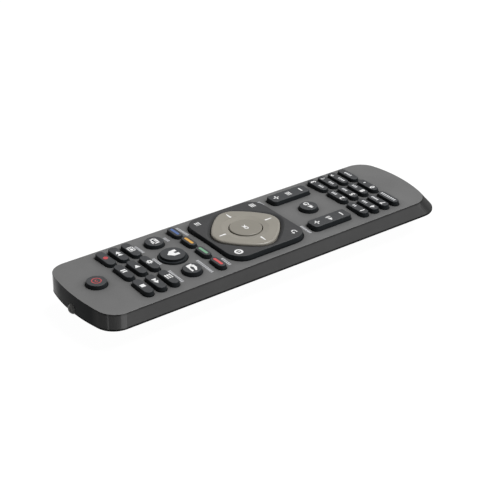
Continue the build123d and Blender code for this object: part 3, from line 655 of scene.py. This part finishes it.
RING_LIFT = 0.01 - PRINT
m = on_key("nav_ring", 1.0, RING_LIFT)
for c, s in ((1, 0), (0, 1), (-1, 0), (0, -1)):
    m.poly([(c * along - s * aside, s * along + c * aside)
            for along, aside in ((14.0, -0.2), (14.0, 0.2), (10.6, 0.48), (10.6, -0.48))])
finished(m, "nav_ring")

m = on_key("ok_key", 1.0, RING_LIFT)
m.letters("OK", 0, 0, 1.7, 0.09)
finished(m, "ok_key")

# Rows of blocks on the face: count and middle of each
face_rows = ((7, 14.0, 49.6), (6, 0.9, 49.5), (10, -13.1, 49.7), (4, 14.5, 35.4), (11, -13.4, 35.4),
             (9, 16.4, 25.8), (6, -15.4, 25.9), (4, 17.3, -17.5), (7, -13.6, -18.3))
m = Marks(0, 0, crowned)
for count, x, y in face_rows:
    m.blocks(count, x, y, 1.35, 0.68, 0.34, "label")
m.make("face_marks", "casing")

# Camera, fitted to the photograph; its place counts from the pad's middle and the top of the face
FOCAL_LENGTH = 107.09
SENSOR_WIDTH = 36
pad_y = middle_of("nav_pad")[1]
right = Vector((-0.60708062, -0.79453655, 0.01283687))
up = Vector((0.39817927, -0.29017703, 0.87020145))
back = Vector((-0.68768189, 0.53339381, 0.49252883))
place = Vector((-444.16, pad_y + 341.93, face_top + 308.02)) * MM

camera_data = bpy.data.cameras.new("camera")
camera_data.lens = FOCAL_LENGTH
camera_data.sensor_width = SENSOR_WIDTH
camera_data.clip_start = 0.01
camera = bpy.data.objects.new("camera", camera_data)
scene.collection.objects.link(camera)
camera.matrix_world = Matrix(((right.x, up.x, back.x, place.x), (right.y, up.y, back.y, place.y),
                              (right.z, up.z, back.z, place.z), (0, 0, 0, 1)))
scene.camera = camera

# White floor, just under the underside
FLOOR_HALF = 8
FLOOR_DROP = 0.0001
floor_mesh = bpy.data.meshes.new("floor")
floor_mesh.from_pydata([(-FLOOR_HALF, -FLOOR_HALF, 0), (FLOOR_HALF, -FLOOR_HALF, 0),
                        (FLOOR_HALF, FLOOR_HALF, 0), (-FLOOR_HALF, FLOOR_HALF, 0)], [], [(0, 1, 2, 3)])
floor = bpy.data.objects.new("floor", floor_mesh)
scene.collection.objects.link(floor)
floor.location.z = -FLOOR_DROP
floor_shader = Shader("floor_white")
floor_shader.set(Base_Color=(0.08, 0.08, 0.08, 1), Roughness=0.9, Specular_IOR_Level=0.0,
                 Emission_Color=(1, 1, 1, 1), Emission_Strength=0.98)
floor_mesh.materials.append(floor_shader.material)
floor.visible_diffuse = False
floor.visible_glossy = False

# One wide soft lamp overhead, towards the near side and the tail
LAMP_DISTANCE = 2.4
LAMP_SIZE = 1.6
LAMP_POWER = 66
lamp_data = bpy.data.lights.new("key_light", "AREA")
lamp_data.shape = "DISK"
lamp_data.size = LAMP_SIZE
lamp_data.energy = LAMP_POWER
lamp = bpy.data.objects.new("key_light", lamp_data)
scene.collection.objects.link(lamp)
aim = Vector((-0.27, -0.31, 0.91)).normalized()
lamp.location = aim * LAMP_DISTANCE
lamp.rotation_mode = "QUATERNION"
lamp.rotation_quaternion = aim.to_track_quat("Z", "Y")

world = bpy.data.worlds.new("studio")
scene.world = world
world.use_nodes = True
sky = world.node_tree


def sky_math(kind, *values, clamp=False):
    node = sky.nodes.new("ShaderNodeMath")
    node.operation = kind
    node.use_clamp = clamp
    for socket, value in zip(node.inputs, values):
        if isinstance(value, (int, float)):
            socket.default_value = value
        else:
            sky.links.new(value, socket)
    return node.outputs["Value"]


def sky_ramp(value, start, end, low, high):
    node = sky.nodes.new("ShaderNodeMapRange")
    node.interpolation_type = "SMOOTHSTEP"
    for name, number in (("From Min", start), ("From Max", end), ("To Min", low), ("To Max", high)):
        node.inputs[name].default_value = number
    sky.links.new(value, node.inputs["Value"])
    return node.outputs["Result"]


def sky_mix(share, first, second):
    node = sky.nodes.new("ShaderNodeMix")
    node.data_type = "RGBA"
    colours = [i for i in node.inputs if i.type == "RGBA"]
    for socket, value in zip(colours, (first, second)):
        if isinstance(value, tuple):
            socket.default_value = value
        else:
            sky.links.new(value, socket)
    sky.links.new(share, node.inputs["Factor"])
    return [o for o in node.outputs if o.type == "RGBA"][0]


def sky_band(bearing, low_degrees, high_degrees, soft_degrees):
    """1 between two bearings, with soft edges outside them."""
    low, high, soft = (math.radians(value) for value in (low_degrees, high_degrees, soft_degrees))
    return sky_math("MULTIPLY", sky_ramp(bearing, low - soft, low, 0, 1),
                    sky_ramp(bearing, high, high + soft, 1, 0))


# A dim room for bounced light, a brighter horizon behind the far side, and white panels near the floor
PANELS = ((-40, -6, 22), (112.5, 116.5, 1.5), (-179.9, -152, 5))
ROOM_SHADE = (0.10, 0.10, 0.10, 1)
HORIZON_SHADE = (0.62, 0.62, 0.6, 1)
PANEL_SHADE = (0.8, 0.8, 0.8, 1)
WHITE = (1, 1, 1, 1)

direction = sky.nodes.new("ShaderNodeSeparateXYZ")
sky.links.new(sky.nodes.new("ShaderNodeTexCoord").outputs["Generated"], direction.inputs[0])
east, north, height = direction.outputs
path = sky.nodes.new("ShaderNodeLightPath")
mirrored = path.outputs["Is Glossy Ray"]

away = sky_math("ADD", sky_math("MULTIPLY", east, 0.79), sky_math("MULTIPLY", north, -0.61))
behind = sky_ramp(away, 0.2, 0.8, 0, 1)
horizon = sky_math("MULTIPLY", sky_ramp(height, 0.12, 0.5, 1, 0), sky_ramp(height, -0.05, 0.05, 0, 1))
glow = sky_math("MULTIPLY", sky_math("MULTIPLY", behind, horizon), mirrored)
bearing = sky_math("ARCTAN2", north, east)
below = sky_math("MULTIPLY", sky_ramp(height, -0.25, -0.4, 0, 1), mirrored)
first, second, third = (sky_band(bearing, *panel) for panel in PANELS)
panels = sky_math("ADD", sky_math("ADD", first, second), third)
panels = sky_math("MULTIPLY", panels, below, clamp=True)

room = sky_mix(glow, ROOM_SHADE, HORIZON_SHADE)
room = sky_mix(panels, room, PANEL_SHADE)
sky.links.new(sky_mix(path.outputs["Is Camera Ray"], room, WHITE), sky.nodes["Background"].inputs["Color"])
